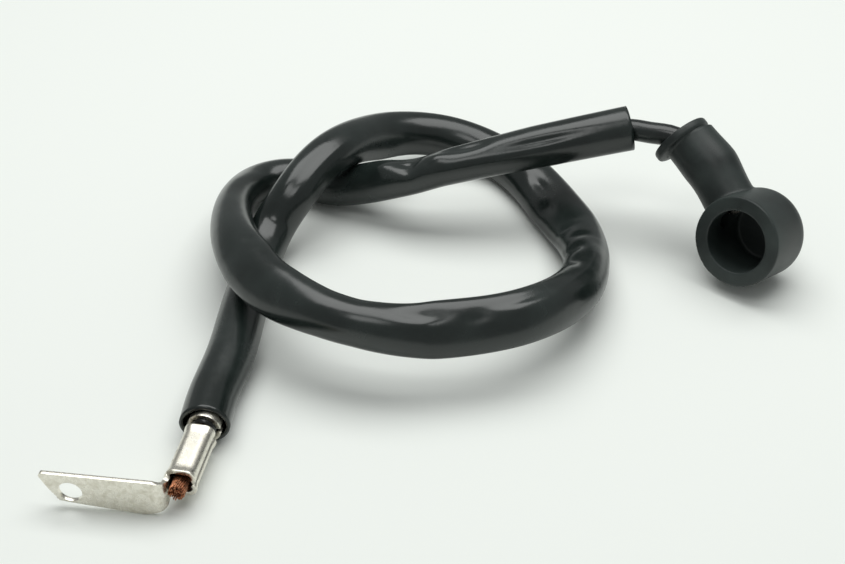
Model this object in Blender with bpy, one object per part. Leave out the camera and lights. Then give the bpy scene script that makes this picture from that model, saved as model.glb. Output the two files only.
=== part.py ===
"""Electrical lead with a bolt lug, a loosely knotted protective sleeve and a rubber elbow boot.

Lengths are in metres. The lead lies on the plane z = 0, seen from -Y with +X to the right:
the bolt lug stands on its edge at the left, the boot rests on its cup at the right.
"""

import math

import bmesh
import bpy
import numpy as np
from mathutils import Matrix, Vector

MM = 0.001

# Clearance between pieces that touch on the real lead.
GAP = 0.3 * MM

# Conductor: seven bunches of fine copper wire, one in the middle and six round it.
BUNCH_OD = 1.4 * MM
BUNCH_GAP = 0.2 * MM
BUNCHES_ROUND = 6
CONDUCTOR_OD = 3 * BUNCH_OD + 2 * BUNCH_GAP

# Insulation of the wire, and the loose sleeve that is pulled over it.
INSULATION_WALL = 0.8 * MM
INSULATION_BORE = CONDUCTOR_OD + 2 * GAP
INSULATION_OD = INSULATION_BORE + 2 * INSULATION_WALL
SLEEVE_ROOM = 2.2 * MM
SLEEVE_WALL = 0.9 * MM
SLEEVE_OD = INSULATION_OD + 2 * (SLEEVE_ROOM + SLEEVE_WALL)

# Bolt lug: a strip on its edge, bent round to a barrel that is folded over the conductor.
TONGUE_LENGTH = 31.8 * MM
TONGUE_WIDTH = 11.3 * MM
LUG_SHEET = 1.2 * MM
BOLT_HOLE_OD = 6.4 * MM
HOLE_TO_TIP = 7.8 * MM
BEND_RADIUS = 2.2 * MM
BARREL_LENGTH = 17.5 * MM
BARREL_RISE = 1.35 * MM
BARREL_HEIGHT = TONGUE_WIDTH / 2 + BARREL_RISE
BARREL_BORE = CONDUCTOR_OD + 2 * GAP
BARREL_WALL = 1.3 * MM
BARREL_OD = BARREL_BORE + 2 * BARREL_WALL
BARREL_ROUNDNESS = 0.62
BARREL_SET_BACK = 5.2 * MM
SEAM_WIDTH = 1.0 * MM
SEAM_DEPTH = 0.7 * MM
GRIP_SPACE = 1.5 * MM
GRIP_LENGTH = 5.0 * MM
GRIP_WALL = 0.8 * MM
GRIP_BORE = INSULATION_OD + 2 * GAP
GRIP_OD = GRIP_BORE + 2 * GRIP_WALL
GRIP_END = BARREL_LENGTH + GRIP_SPACE + GRIP_LENGTH
CONDUCTOR_OUT = 2.6 * MM
LUG_CORNER = Vector((-74.7, -68.1, 0.0)) * MM
TONGUE_HEADING = math.radians(172.4)
BARREL_HEADING = math.radians(80.0)

# Ring terminal, drawn back into the neck of the boot so that the boot's cup is empty.
# In the boot's frame +Z runs out along its neck and +X out of its cup.
EYE_OD = 10.8 * MM
STUD_HOLE_OD = 6.4 * MM
EYE_SHEET = 1.2 * MM
EYE_NECK_WIDTH = 6.4 * MM
EYE_TO_BARREL = 1.6 * MM
EYE_DRAWN_BACK = 14.0 * MM
TERMINAL_BARREL_LENGTH = 10.0 * MM
TERMINAL_BARREL_WALL = 0.9 * MM
TERMINAL_BARREL_OD = BARREL_BORE + 2 * TERMINAL_BARREL_WALL
TERMINAL_BARREL_START = EYE_DRAWN_BACK + EYE_OD / 2 + EYE_TO_BARREL
TERMINAL_CONDUCTOR_OUT = 1.0 * MM
EYE_FACE = TERMINAL_BARREL_OD / 2 - GAP - EYE_SHEET

# Boot, in the same frame.
CUP_ROOM = 4.1 * MM
CUP_WALL = 4.25 * MM
CUP_BORE = EYE_OD + 2 * CUP_ROOM
CUP_OD = CUP_BORE + 2 * CUP_WALL
CUP_BACK_WALL = 2.5 * MM
CUP_BACK_ROOM = 3.0 * MM
CUP_BACK = TERMINAL_BARREL_OD / 2 + CUP_BACK_ROOM + CUP_BACK_WALL
CUP_ROUNDING = 6.0 * MM
NECK_ROOM = 3.2 * MM
NECK_WALL = 1.5 * MM
NECK_BORE = INSULATION_OD + 2 * NECK_ROOM
NECK_OD = NECK_BORE + 2 * NECK_WALL
NECK_LENGTH = 38.6 * MM
MOUTH_RIM = 4.4 * MM
CUP_MOUTH = NECK_OD / 2 + MOUTH_RIM
COLLAR_RIM = 1.3 * MM
COLLAR_OD = NECK_OD + 2 * COLLAR_RIM
COLLAR_LENGTH = 2.8 * MM
NECK_AXIS = Vector((-0.559, 0.677, 0.479)).normalized()
MOUTH_AXIS = Vector((-0.635, -0.721, 0.277)).normalized()

# The rounded back edge of the cup rests on the ground.
CUP_TILT = math.asin(MOUTH_AXIS.z)
CUP_HEIGHT = (
    CUP_ROUNDING
    + (CUP_OD / 2 - CUP_ROUNDING) * math.cos(CUP_TILT)
    + (CUP_BACK - CUP_ROUNDING) * math.sin(CUP_TILT)
)
BOOT_PLACE = Vector((92.1 * MM, 34.9 * MM, CUP_HEIGHT))

# How far a cutter reaches past what it cuts.
PAST = 6.0 * MM

# Spacing of the points along the sleeve and the wire, closer together where they bend.
POINT_SPACING = 13.0 * MM
STRAIGHT_SHARE = 0.6
BEND_LENGTH = 14.0 * MM
STEPS_PER_STRETCH = 40

# Route of the sleeve, in millimetres, from the lug, round the overhand knot, to its free end.
SLEEVE_ROUTE_MM = [
    (-67.0, -42.0, 7.0), (-66.0, -30.0, 6.8), (-63.5, -16.0, 6.8), (-62.0, -2.5, 6.8),
    (-61.0, 10.0, 6.8), (-59.5, 23.5, 6.8), (-58.0, 36.0, 7.5), (-55.0, 45.5, 11.0),
    (-50.0, 51.0, 17.5), (-44.0, 60.5, 21.5), (-36.5, 71.5, 22.0), (-28.0, 83.5, 18.5),
    (-18.5, 92.5, 14.5), (-6.5, 96.5, 11.5), (5.0, 95.5, 9.0), (17.0, 88.5, 7.0),
    (26.5, 75.5, 6.8), (33.0, 60.5, 6.8), (37.5, 45.5, 7.5), (39.5, 28.0, 9.5),
    (35.5, 9.5, 13.5), (29.0, -2.5, 17.0), (21.0, -10.5, 19.5), (11.0, -15.0, 20.0),
    (-9.5, -18.0, 20.0), (-30.5, -15.0, 21.0), (-49.0, -3.5, 21.5), (-56.0, 5.0, 21.5),
    (-62.5, 17.5, 20.5), (-67.5, 35.0, 17.0), (-69.0, 58.0, 11.0), (-65.0, 71.5, 7.8),
    (-57.5, 77.5, 6.8), (-48.5, 76.5, 6.8), (-38.5, 72.0, 7.2), (-28.0, 68.0, 10.5),
    (-17.5, 63.0, 16.0), (-6.5, 61.0, 20.0), (20.5, 63.0, 26.0), (56.0, 67.1, 32.0),
]

# The wire lies along the middle of the sleeve, and from near its free end it takes these points.
# It runs straight into the barrel of the ring terminal.
WIRE_TO_BOOT_MM = [
    (37.5, 65.3, 28.8), (47.5, 66.7, 30.6), (56.1, 66.5, 31.8), (62.0, 64.1, 32.2),
    (67.6, 61.8, 32.6),
]
STRAIGHT_INTO_BARREL = 5.0 * MM


def clear_scene():
    """Removes every object of the scene."""
    for obj in list(bpy.data.objects):
        bpy.data.objects.remove(obj, do_unlink=True)


def material(name, colour, roughness, metallic=0.0):
    """A Principled material of one colour."""
    made = bpy.data.materials.new(name)
    made.use_nodes = True
    shader = made.node_tree.nodes["Principled BSDF"]
    shader.inputs["Base Color"].default_value = (*colour, 1.0)
    shader.inputs["Roughness"].default_value = roughness
    shader.inputs["Metallic"].default_value = metallic
    return made


def mesh_object(name, bm, finish=None, parent=None):
    """An object with this bmesh as its mesh, shaded smooth between its sharp edges."""
    bmesh.ops.recalc_face_normals(bm, faces=bm.faces)
    mesh = bpy.data.meshes.new(name)
    bm.to_mesh(mesh)
    bm.free()
    mesh.shade_smooth()
    mesh.set_sharp_from_angle(angle=math.radians(35))
    obj = bpy.data.objects.new(name, mesh)
    bpy.context.scene.collection.objects.link(obj)
    obj.parent = parent
    if finish:
        mesh.materials.append(finish)
    return obj


def boolean(obj, operation, other):
    """Joins or cuts an object with another one, which stays hidden as its cutter."""
    other.hide_render = True
    other.display_type = "WIRE"
    step = obj.modifiers.new(operation.lower(), "BOOLEAN")
    step.operation = operation
    step.solver = "EXACT"
    step.object = other


def cylinder(name, radius, start, end, sides=32, finish=None, parent=None):
    """A cylinder between two points."""
    axis = end - start
    turn = axis.to_track_quat("Z", "Y").to_matrix().to_4x4()
    place = Matrix.Translation((start + end) / 2) @ turn
    bm = bmesh.new()
    bmesh.ops.create_cone(
        bm, cap_ends=True, segments=sides, radius1=radius, radius2=radius,
        depth=axis.length, matrix=place,
    )
    return mesh_object(name, bm, finish, parent)


def turned(name, profile, axis, sides=32, finish=None, parent=None):
    """A solid turned about an axis through the origin, from (distance along it, radius) points."""
    across = axis.orthogonal().normalized()
    bm = bmesh.new()
    points = [bm.verts.new(axis * along + across * radius) for along, radius in profile]
    edges = [bm.edges.new(pair) for pair in zip(points, points[1:])]
    bmesh.ops.spin(
        bm, geom=points + edges, cent=(0, 0, 0), axis=axis, angle=2 * math.pi,
        steps=sides, use_merge=True,
    )
    bmesh.ops.remove_doubles(bm, verts=bm.verts, dist=0.001 * MM)
    return mesh_object(name, bm, finish, parent)


def extruded(name, outline, run, finish=None):
    """A solid whose flat outline is drawn out along a vector."""
    bm = bmesh.new()
    face = bm.faces.new([bm.verts.new(corner) for corner in outline])
    moved = bmesh.ops.extrude_face_region(bm, geom=[face])["geom"]
    verts = [part for part in moved if isinstance(part, bmesh.types.BMVert)]
    bmesh.ops.translate(bm, verts=verts, vec=run)
    return mesh_object(name, bm, finish)


def cubic_curve(route):
    """Closely spaced points along the natural cubic curve through a route's points."""
    knots = np.array([tuple(point) for point in route])
    runs = np.linalg.norm(np.diff(knots, axis=0), axis=1) ** 0.5
    last = len(knots) - 1
    system = np.eye(len(knots))
    right = np.zeros((len(knots), 3))
    for k in range(1, last):
        before, after = runs[k - 1], runs[k]
        system[k, k - 1 : k + 2] = before, 2 * (before + after), after
        right[k] = 6 * ((knots[k + 1] - knots[k]) / after - (knots[k] - knots[k - 1]) / before)
    bend = np.linalg.solve(system, right)
    curve = []
    for k, run in enumerate(runs):
        for step in np.linspace(0, run, STEPS_PER_STRETCH, endpoint=k == last - 1):
            left = run - step
            cubic = (bend[k] * left**3 + bend[k + 1] * step**3) / (6 * run)
            line = (knots[k] / run - bend[k] * run / 6) * left
            line += (knots[k + 1] / run - bend[k + 1] * run / 6) * step
            curve.append(cubic + line)
    return np.array(curve)


def smooth_path(route):
    """Points along a cubic curve through a route's points, closer together where it bends."""
    curve = cubic_curve(route)
    steps = np.diff(curve, axis=0)
    lengths = np.linalg.norm(steps, axis=1)
    ahead = steps / lengths[:, None]
    turns = np.linalg.norm(np.diff(ahead, axis=0, prepend=ahead[:1]), axis=1)
    shares = (STRAIGHT_SHARE * lengths + BEND_LENGTH * turns) / POINT_SPACING
    so_far = np.concatenate([[0.0], np.cumsum(shares)])
    marks = np.linspace(0, so_far[-1], round(so_far[-1]) + 1)
    spread = [np.interp(marks, so_far, curve[:, k]) for k in range(3)]
    return [Vector(point) for point in zip(*spread)]


def side_frames(path):
    """Two directions across the path at each of its points, turning no more than the path does."""
    frames = []
    across = None
    for k in range(len(path)):
        ahead = path[min(k + 1, len(path) - 1)] - path[max(k - 1, 0)]
        ahead.normalize()
        guess = across if across else ahead.orthogonal()
        across = (guess - ahead * guess.dot(ahead)).normalized()
        frames.append((across.copy(), ahead.cross(across)))
    return frames


def tube(name, path, diameter, finish, roundness=2, wall=None):
    """A tube along a path: solid with closed ends or, where a wall is given, hollow."""
    curve = bpy.data.curves.new(name, "CURVE")
    curve.dimensions = "3D"
    curve.bevel_depth = diameter / 2
    curve.bevel_resolution = roundness
    curve.use_fill_caps = wall is None
    spline = curve.splines.new("POLY")
    spline.points.add(len(path) - 1)
    for point, place in zip(spline.points, path):
        point.co = (*place, 1.0)
    curve.materials.append(finish)
    obj = bpy.data.objects.new(name, curve)
    bpy.context.scene.collection.objects.link(obj)
    if wall is not None:
        shell = obj.modifiers.new("wall", "SOLIDIFY")
        shell.thickness = wall
        shell.offset = -1.0
        shell.use_even_offset = True
    return obj


def heading(angle):
    """The level direction at this angle from +X."""
    return Vector((math.cos(angle), math.sin(angle), 0.0))


def lug_axis(distance):
    """The point of the barrel's axis at this distance behind the barrel's front edge."""
    along = heading(BARREL_HEADING)
    left = Vector((-along.y, along.x, 0.0))
    base = LUG_CORNER - left * (BARREL_OD - LUG_SHEET) / 2
    return base + along * (BARREL_SET_BACK + distance) + Vector((0.0, 0.0, BARREL_HEIGHT))


def make_lug_strip(finish):
    """The strip that the lug is pressed from, on its edge: tongue, bend, and the base of the barrel."""
    tongue = heading(TONGUE_HEADING)
    along = heading(BARREL_HEADING)
    half_turn = (math.pi - tongue.angle(along)) / 2
    tangent = BEND_RADIUS * math.tan(half_turn)
    centre = LUG_CORNER + (tongue + along).normalized() * BEND_RADIUS / math.cos(half_turn)
    first = (LUG_CORNER + tongue * tangent - centre).normalized()
    last = (LUG_CORNER + along * tangent - centre).normalized()
    bend_steps = 8
    line = [LUG_CORNER + tongue * TONGUE_LENGTH]
    for k in range(bend_steps + 1):
        line.append(centre + first.slerp(last, k / bend_steps) * BEND_RADIUS)
    line.append(LUG_CORNER + along * (BARREL_SET_BACK + GRIP_END - GAP))
    outer, inner = [], []
    for k, point in enumerate(line):
        ahead = (line[min(k + 1, len(line) - 1)] - line[max(k - 1, 0)]).normalized()
        side = Vector((-ahead.y, ahead.x, 0.0)) * LUG_SHEET / 2
        outer.append(point - side)
        inner.append(point + side)
    return extruded("lug", outer + inner[::-1], Vector((0, 0, TONGUE_WIDTH)), finish)


def narrow_lug_strip(lug):
    """Cuts the strip behind the bend from the tongue's width down to the barrel's."""
    along = heading(BARREL_HEADING)
    across = Vector((along.y, -along.x, 0.0))
    half = BARREL_OD / 2 - LUG_SHEET
    taper_end = BARREL_SET_BACK - LUG_SHEET
    cut_end = BARREL_SET_BACK + GRIP_END + PAST
    cuts = [
        ("cut_low", 0.0, BARREL_HEIGHT - half, -PAST),
        ("cut_high", TONGUE_WIDTH, BARREL_HEIGHT + half, TONGUE_WIDTH + PAST),
    ]
    for name, edge, barrel_edge, beyond in cuts:
        corners = [(0.0, edge), (taper_end, barrel_edge), (cut_end, barrel_edge)]
        corners += [(cut_end, beyond), (0.0, beyond)]
        start = LUG_CORNER + across * BARREL_OD
        outline = [start + along * run + Vector((0, 0, height)) for run, height in corners]
        boolean(lug, "DIFFERENCE", extruded(name, outline, across * -2 * BARREL_OD))


def add_lug_barrel(lug):
    """Joins the folded barrel and the insulation grip to the strip, and opens their bores and seam."""
    along = heading(BARREL_HEADING)
    across = Vector((along.y, -along.x, 0.0))
    up = Vector((0, 0, 1))
    half = BARREL_OD / 2
    outline = []
    for quarter in range(4):
        for turn in (15, 35, 55, 75):
            angle = math.radians(90 * quarter + turn)
            corner = [
                math.copysign(abs(part) ** BARREL_ROUNDNESS, part) * half
                for part in (math.cos(angle), math.sin(angle))
            ]
            outline.append(lug_axis(0) + across * corner[0] + up * corner[1])
    boolean(lug, "UNION", extruded("barrel", outline, along * BARREL_LENGTH))
    grip_start = lug_axis(BARREL_LENGTH + GRIP_SPACE)
    boolean(lug, "UNION", cylinder("grip", GRIP_OD / 2, grip_start, lug_axis(GRIP_END), 20))

    open_end = lug_axis(GRIP_END + PAST)
    bore = cylinder("bore", BARREL_BORE / 2, lug_axis(-PAST), open_end, 20)
    boolean(lug, "DIFFERENCE", bore)
    grip_bore = cylinder("grip_bore", GRIP_BORE / 2, grip_start - along * GAP, open_end, 20)
    boolean(lug, "DIFFERENCE", grip_bore)
    groove = [
        (half - SEAM_DEPTH, SEAM_WIDTH / 8), (half + SEAM_DEPTH, SEAM_WIDTH),
        (half + SEAM_DEPTH, -SEAM_WIDTH),
    ]
    seam_start = lug_axis(-PAST)
    seam_end = lug_axis(BARREL_LENGTH + GRIP_SPACE / 2)
    seam = [seam_start + across * side + up * height for side, height in groove]
    boolean(lug, "DIFFERENCE", extruded("seam", seam, seam_end - seam_start))


def make_lug(finish):
    """Bolt lug, as one pressed piece."""
    lug = make_lug_strip(finish)
    narrow_lug_strip(lug)
    add_lug_barrel(lug)
    tongue = heading(TONGUE_HEADING)
    hole = LUG_CORNER + tongue * (TONGUE_LENGTH - HOLE_TO_TIP) + Vector((0, 0, TONGUE_WIDTH / 2))
    through = Vector((-tongue.y, tongue.x, 0.0)) * (LUG_SHEET + PAST)
    boolean(lug, "DIFFERENCE", cylinder("bolt_hole", BOLT_HOLE_OD / 2, hole - through, hole + through))
    return lug


def boot_frame():
    """An empty on the twist axis of the boot, with +Z along the neck and +X out of the mouth."""
    out = (MOUTH_AXIS - NECK_AXIS * MOUTH_AXIS.dot(NECK_AXIS)).normalized()
    turn = Matrix((out, NECK_AXIS.cross(out), NECK_AXIS)).transposed().to_4x4()
    empty = bpy.data.objects.new("boot_twist_axis", None)
    bpy.context.scene.collection.objects.link(empty)
    empty.matrix_world = Matrix.Translation(BOOT_PLACE) @ turn
    return empty


def make_boot(finish, frame):
    """Rubber elbow: a cup with an open mouth, and a neck with a collar that the wire enters."""
    out = Vector((1, 0, 0))
    up = Vector((0, 0, 1))
    half = CUP_OD / 2
    profile = [(CUP_MOUTH, 0.0), (CUP_MOUTH, half)]
    for degrees in range(0, 91, 15):
        angle = math.radians(degrees)
        along = CUP_ROUNDING * (1 - math.sin(angle)) - CUP_BACK
        profile.append((along, half - CUP_ROUNDING * (1 - math.cos(angle))))
    profile.append((-CUP_BACK, 0.0))
    boot = turned("boot", profile, out, 32, finish, frame)
    neck = cylinder("neck", NECK_OD / 2, up * 0, up * NECK_LENGTH, 28, parent=frame)
    boolean(boot, "UNION", neck)
    collar_start = up * (NECK_LENGTH - COLLAR_LENGTH)
    collar_end = up * (NECK_LENGTH + GAP / 2)
    collar = cylinder("collar", COLLAR_OD / 2, collar_start, collar_end, 28, parent=frame)
    boolean(boot, "UNION", collar)
    deep = out * (CUP_BACK_WALL - CUP_BACK)
    cup_bore = cylinder("cup_bore", CUP_BORE / 2, deep, out * (CUP_MOUTH + PAST), 28, parent=frame)
    boolean(boot, "DIFFERENCE", cup_bore)
    neck_bore = cylinder("neck_bore", NECK_BORE / 2, up * 0, up * (NECK_LENGTH + PAST), 28, parent=frame)
    boolean(boot, "DIFFERENCE", neck_bore)
    return boot


def make_ring_terminal(finish, frame):
    """Eye for the stud, with a barrel closed round the conductor."""
    out = Vector((1, 0, 0))
    up = Vector((0, 0, 1))
    front = up * EYE_DRAWN_BACK - out * EYE_FACE
    back = front - out * EYE_SHEET
    start = up * TERMINAL_BARREL_START
    end = start + up * TERMINAL_BARREL_LENGTH
    side = Vector((0, EYE_NECK_WIDTH / 2, 0))
    strap_start = up * EYE_OD / 4
    strap_run = (start + end) / 2 - up * EYE_DRAWN_BACK - strap_start
    strap_outline = [place + strap_start for place in (back - side, front - side, front + side, back + side)]
    ring = cylinder("ring_terminal", EYE_OD / 2, back, front, 32, finish)
    strap = extruded("strap", strap_outline, strap_run)
    barrel = cylinder("terminal_barrel", TERMINAL_BARREL_OD / 2, start, end, 20)
    bore_start = start - up * (TERMINAL_CONDUCTOR_OUT + GAP)
    bore = cylinder("terminal_bore", BARREL_BORE / 2, bore_start, end + up * PAST, 20)
    hole = cylinder("stud_hole", STUD_HOLE_OD / 2, back - out * EYE_SHEET, front + out * EYE_SHEET)
    for piece in (ring, strap, barrel, bore, hole):
        piece.matrix_world = frame.matrix_world
    boolean(ring, "UNION", strap)
    boolean(ring, "UNION", barrel)
    boolean(ring, "DIFFERENCE", bore)
    boolean(ring, "DIFFERENCE", hole)
    return ring


def make_wire(copper, black, frame):
    """Seven bunches of conductor over the whole lead, and the insulation between the two crimps."""
    terminal = frame.matrix_world.translation + NECK_AXIS * TERMINAL_BARREL_START
    sleeve = [Vector(point) * MM for point in SLEEVE_ROUTE_MM]
    route = [lug_axis(BARREL_LENGTH + GRIP_SPACE + GAP), lug_axis(GRIP_END)]
    route.append(lug_axis(GRIP_END + GRIP_LENGTH))
    route += sleeve[2:-2]
    route += [Vector(point) * MM for point in WIRE_TO_BOOT_MM]
    terminal_end = terminal + NECK_AXIS * (TERMINAL_BARREL_LENGTH + GAP)
    straight_start = terminal_end + NECK_AXIS * STRAIGHT_INTO_BARREL
    route += [straight_start, (straight_start + terminal_end) / 2, terminal_end]
    path = smooth_path(route)
    tube("wire_insulation", path, INSULATION_OD, black, wall=INSULATION_WALL)

    cut_end = terminal - NECK_AXIS * TERMINAL_CONDUCTOR_OUT
    whole = [lug_axis(-CONDUCTOR_OUT), lug_axis(BARREL_LENGTH)] + path + [cut_end]
    tube("conductor_bunch_1", whole, BUNCH_OD, copper)
    frames = side_frames(whole)
    for k in range(BUNCHES_ROUND):
        angle = 2 * math.pi * k / BUNCHES_ROUND
        level = math.cos(angle) * (BUNCH_OD + BUNCH_GAP)
        rise = math.sin(angle) * (BUNCH_OD + BUNCH_GAP)
        beside = [at + side * level + over * rise for at, (side, over) in zip(whole, frames)]
        tube(f"conductor_bunch_{k + 2}", beside, BUNCH_OD, copper)


def main():
    """Builds every piece of the lead."""
    clear_scene()
    tin = material("tinned_copper", (0.72, 0.71, 0.68), 0.28, 1.0)
    copper = material("bare_copper", (0.62, 0.27, 0.16), 0.35, 1.0)
    black_wire = material("wire_insulation_pvc", (0.02, 0.021, 0.021), 0.35)
    black_sleeve = material("sleeve_pvc", (0.03, 0.034, 0.034), 0.25)
    rubber = material("boot_rubber", (0.035, 0.04, 0.04), 0.5)

    make_lug(tin)
    frame = boot_frame()
    bpy.context.view_layer.update()
    make_boot(rubber, frame)
    make_ring_terminal(tin, frame)
    make_wire(copper, black_wire, frame)
    sleeve = smooth_path([Vector(point) * MM for point in SLEEVE_ROUTE_MM])
    tube("sleeve", sleeve, SLEEVE_OD, black_sleeve, 4, SLEEVE_WALL)


main()
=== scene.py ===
"""Electrical lead: a bent bolt lug, a wire in a knotted sleeve, and a rubber elbow boot.

Lengths are in metres. The lead lies on the plane z = 0, with +X to the right and +Y away.
"""

import logging
import math
import random
from dataclasses import dataclass
from enum import Enum
from typing import Iterable, Optional, Sequence

import bmesh
import bpy
import numpy as np
from mathutils import Matrix, Vector

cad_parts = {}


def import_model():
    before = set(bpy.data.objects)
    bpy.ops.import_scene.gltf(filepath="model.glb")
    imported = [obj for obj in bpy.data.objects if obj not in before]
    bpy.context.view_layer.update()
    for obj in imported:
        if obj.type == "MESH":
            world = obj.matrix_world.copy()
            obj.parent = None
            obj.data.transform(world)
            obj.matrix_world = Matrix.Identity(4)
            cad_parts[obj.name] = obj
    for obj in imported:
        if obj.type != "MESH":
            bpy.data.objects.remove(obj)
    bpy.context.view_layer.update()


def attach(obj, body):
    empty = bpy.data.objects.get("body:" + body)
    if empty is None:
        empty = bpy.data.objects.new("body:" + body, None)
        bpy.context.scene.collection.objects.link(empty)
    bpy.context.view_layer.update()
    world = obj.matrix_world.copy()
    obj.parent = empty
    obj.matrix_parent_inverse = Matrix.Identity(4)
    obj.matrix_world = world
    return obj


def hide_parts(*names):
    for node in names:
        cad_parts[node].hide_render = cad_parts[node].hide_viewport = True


MM = 0.001
LOG = logging.getLogger("lead")

Points = np.ndarray
Piece = bpy.types.Object
Material = bpy.types.Material
Tree = bpy.types.NodeTree
Node = bpy.types.Node
Socket = bpy.types.NodeSocket


class Body(Enum):
    """The rigid bodies of the lead."""

    LEAD = "lead"
    BOOT = "boot"


class Slot(Enum):
    """The material slots of the lead's record."""

    TIN = "tinned_copper"
    COPPER = "bare_copper"
    WIRE = "wire_pvc"
    SLEEVE = "sleeve_pvc"
    RUBBER = "boot_rubber"


# ---------------- small helpers


def linear(code: str) -> tuple[float, float, float, float]:
    """The linear colour of an sRGB hex code.

    Args:
        code: Six hex digits, such as "2a3030".

    Returns:
        Red, green, blue and an alpha of 1.
    """
    parts = [int(code[k : k + 2], 16) / 255 for k in (0, 2, 4)]
    straight = [c / 12.92 if c <= 0.04045 else ((c + 0.055) / 1.055) ** 2.4 for c in parts]
    return (*straight, 1.0)


def add_node(
    tree: Tree,
    kind: str,
    values: Optional[dict] = None,
    links: Optional[dict] = None,
    **settings: object,
) -> Node:
    """Adds a shader node.

    Args:
        tree: The node tree that takes it.
        kind: The node's type name.
        values: Input socket name or number to its constant.
        links: Input socket name or number to the output socket that feeds it.
        settings: The node's own properties.

    Returns:
        The new node.
    """
    made = tree.nodes.new(kind)
    for name, value in settings.items():
        setattr(made, name, value)
    for socket, value in (values or {}).items():
        made.inputs[socket].default_value = value
    for socket, source in (links or {}).items():
        tree.links.new(source, made.inputs[socket])
    return made


def add_ramp(
    tree: Tree, source: Socket, stops: dict
) -> Socket:
    """Adds a colour ramp.

    Args:
        tree: The node tree that takes it.
        source: The output socket that is looked up.
        stops: Position to a grey level or a hex colour.

    Returns:
        The ramp's colour socket.
    """
    ramp = add_node(tree, "ShaderNodeValToRGB", links={"Fac": source})
    points = ramp.color_ramp.elements
    while len(points) < len(stops):
        points.new(0.5)
    for point, (place, level) in zip(points, sorted(stops.items())):
        point.position = place
        point.color = linear(level) if isinstance(level, str) else (level, level, level, 1.0)
    return ramp.outputs["Color"]


def add_noise(
    tree: Tree, size: float, detail: float, roughness: float = 0.5
) -> Socket:
    """Adds a noise pattern in the object's own coordinates.

    Args:
        tree: The node tree that takes it.
        size: The pattern's scale in metres.
        detail: How many finer layers it has.
        roughness: How strong the finer layers are.

    Returns:
        The noise's value socket.
    """
    place = add_node(tree, "ShaderNodeTexCoord").outputs["Object"]
    values = {"Scale": 1 / size, "Detail": detail, "Roughness": roughness}
    return add_node(tree, "ShaderNodeTexNoise", values, {"Vector": place}).outputs["Fac"]


def add_mix(
    tree: Tree, first: str | Socket, second: str,
    share: Socket,
) -> Socket:
    """Adds a mix of two colours.

    Args:
        tree: The node tree that takes it.
        first: A hex colour, or the socket of a colour.
        second: The hex colour that takes over where the share is 1.
        share: The second colour's share.

    Returns:
        The mixed colour's socket.
    """
    values, links = {7: linear(second)}, {0: share}
    if isinstance(first, str):
        values[6] = linear(first)
    else:
        links[6] = first
    return add_node(tree, "ShaderNodeMix", values, links, data_type="RGBA").outputs[2]


def add_range(
    tree: Tree, share: Socket, low: float, high: float
) -> Socket:
    """Adds a value that goes from low to high as the share goes from 0 to 1."""
    return add_node(tree, "ShaderNodeMapRange", {3: low, 4: high}, {0: share}).outputs[0]


def add_bump(
    tree: Tree, height: Socket, distance: float,
    below: Optional[Socket] = None, strength: float = 1.0,
) -> Socket:
    """Adds a relief.

    Args:
        tree: The node tree that takes it.
        height: The pattern's socket.
        distance: The relief's height in metres.
        below: The normal of a coarser relief that this one lies on.
        strength: The relief's strength.

    Returns:
        The normal's socket.
    """
    links = {"Height": height} if below is None else {"Height": height, "Normal": below}
    values = {"Strength": strength, "Distance": distance}
    return add_node(tree, "ShaderNodeBump", values, links).outputs["Normal"]


def blank_material(name: str) -> tuple[Material, Tree, Node]:
    """An empty material with a Principled shader on its output.

    Args:
        name: The material's name.

    Returns:
        The material, its node tree and its shader.
    """
    made = bpy.data.materials.new(name)
    made.use_nodes = True
    return made, made.node_tree, made.node_tree.nodes["Principled BSDF"]


def feed(tree: Tree, shader: Node, links: dict) -> None:
    """Links output sockets to a shader's inputs, by the inputs' names."""
    for name, source in links.items():
        tree.links.new(source, shader.inputs[name])


def smooth_part(value: float, low: float, high: float) -> float:
    """How far a value has come from low to high, easing in and out, from 0 to 1."""
    part = min(max((value - low) / (high - low), 0.0), 1.0)
    return part * part * (3 - 2 * part)


def cubic_curve(route: Points, step: float) -> Points:
    """Evenly spaced points along the natural cubic curve through a route's points.

    Args:
        route: The points that the curve passes through.
        step: The spacing of the points that come back.

    Returns:
        The points, one row each.
    """
    runs = np.linalg.norm(np.diff(route, axis=0), axis=1) ** 0.5
    last = len(route) - 1
    system = np.eye(len(route))
    right = np.zeros((len(route), 3))
    for k in range(1, last):
        before, after = runs[k - 1], runs[k]
        system[k, k - 1 : k + 2] = before, 2 * (before + after), after
        right[k] = 6 * ((route[k + 1] - route[k]) / after - (route[k] - route[k - 1]) / before)
    bend = np.linalg.solve(system, right)
    curve = []
    for k, run in enumerate(runs):
        at = np.linspace(0, run, 60, endpoint=k == last - 1)[:, None]
        left = run - at
        cubic = (bend[k] * left**3 + bend[k + 1] * at**3) / (6 * run)
        line = (route[k] / run - bend[k] * run / 6) * left
        curve.append(cubic + line + (route[k + 1] / run - bend[k + 1] * run / 6) * at)
    curve = np.concatenate(curve)
    so_far = distances(curve)
    marks = np.linspace(0, so_far[-1], round(so_far[-1] / step) + 1)
    return np.stack([np.interp(marks, so_far, curve[:, k]) for k in range(3)], axis=1)


def distances(path: Points) -> Points:
    """The distance along a path at each of its points."""
    return np.concatenate([[0.0], np.cumsum(np.linalg.norm(np.diff(path, axis=0), axis=1))])


def directions(path: Points) -> Points:
    """The unit direction of a path at each of its points."""
    ahead = np.gradient(path, axis=0)
    return ahead / np.linalg.norm(ahead, axis=1)[:, None]


def unit(rows: Points) -> Points:
    """Each row at length one."""
    return rows / np.linalg.norm(rows, axis=1)[:, None]


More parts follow.
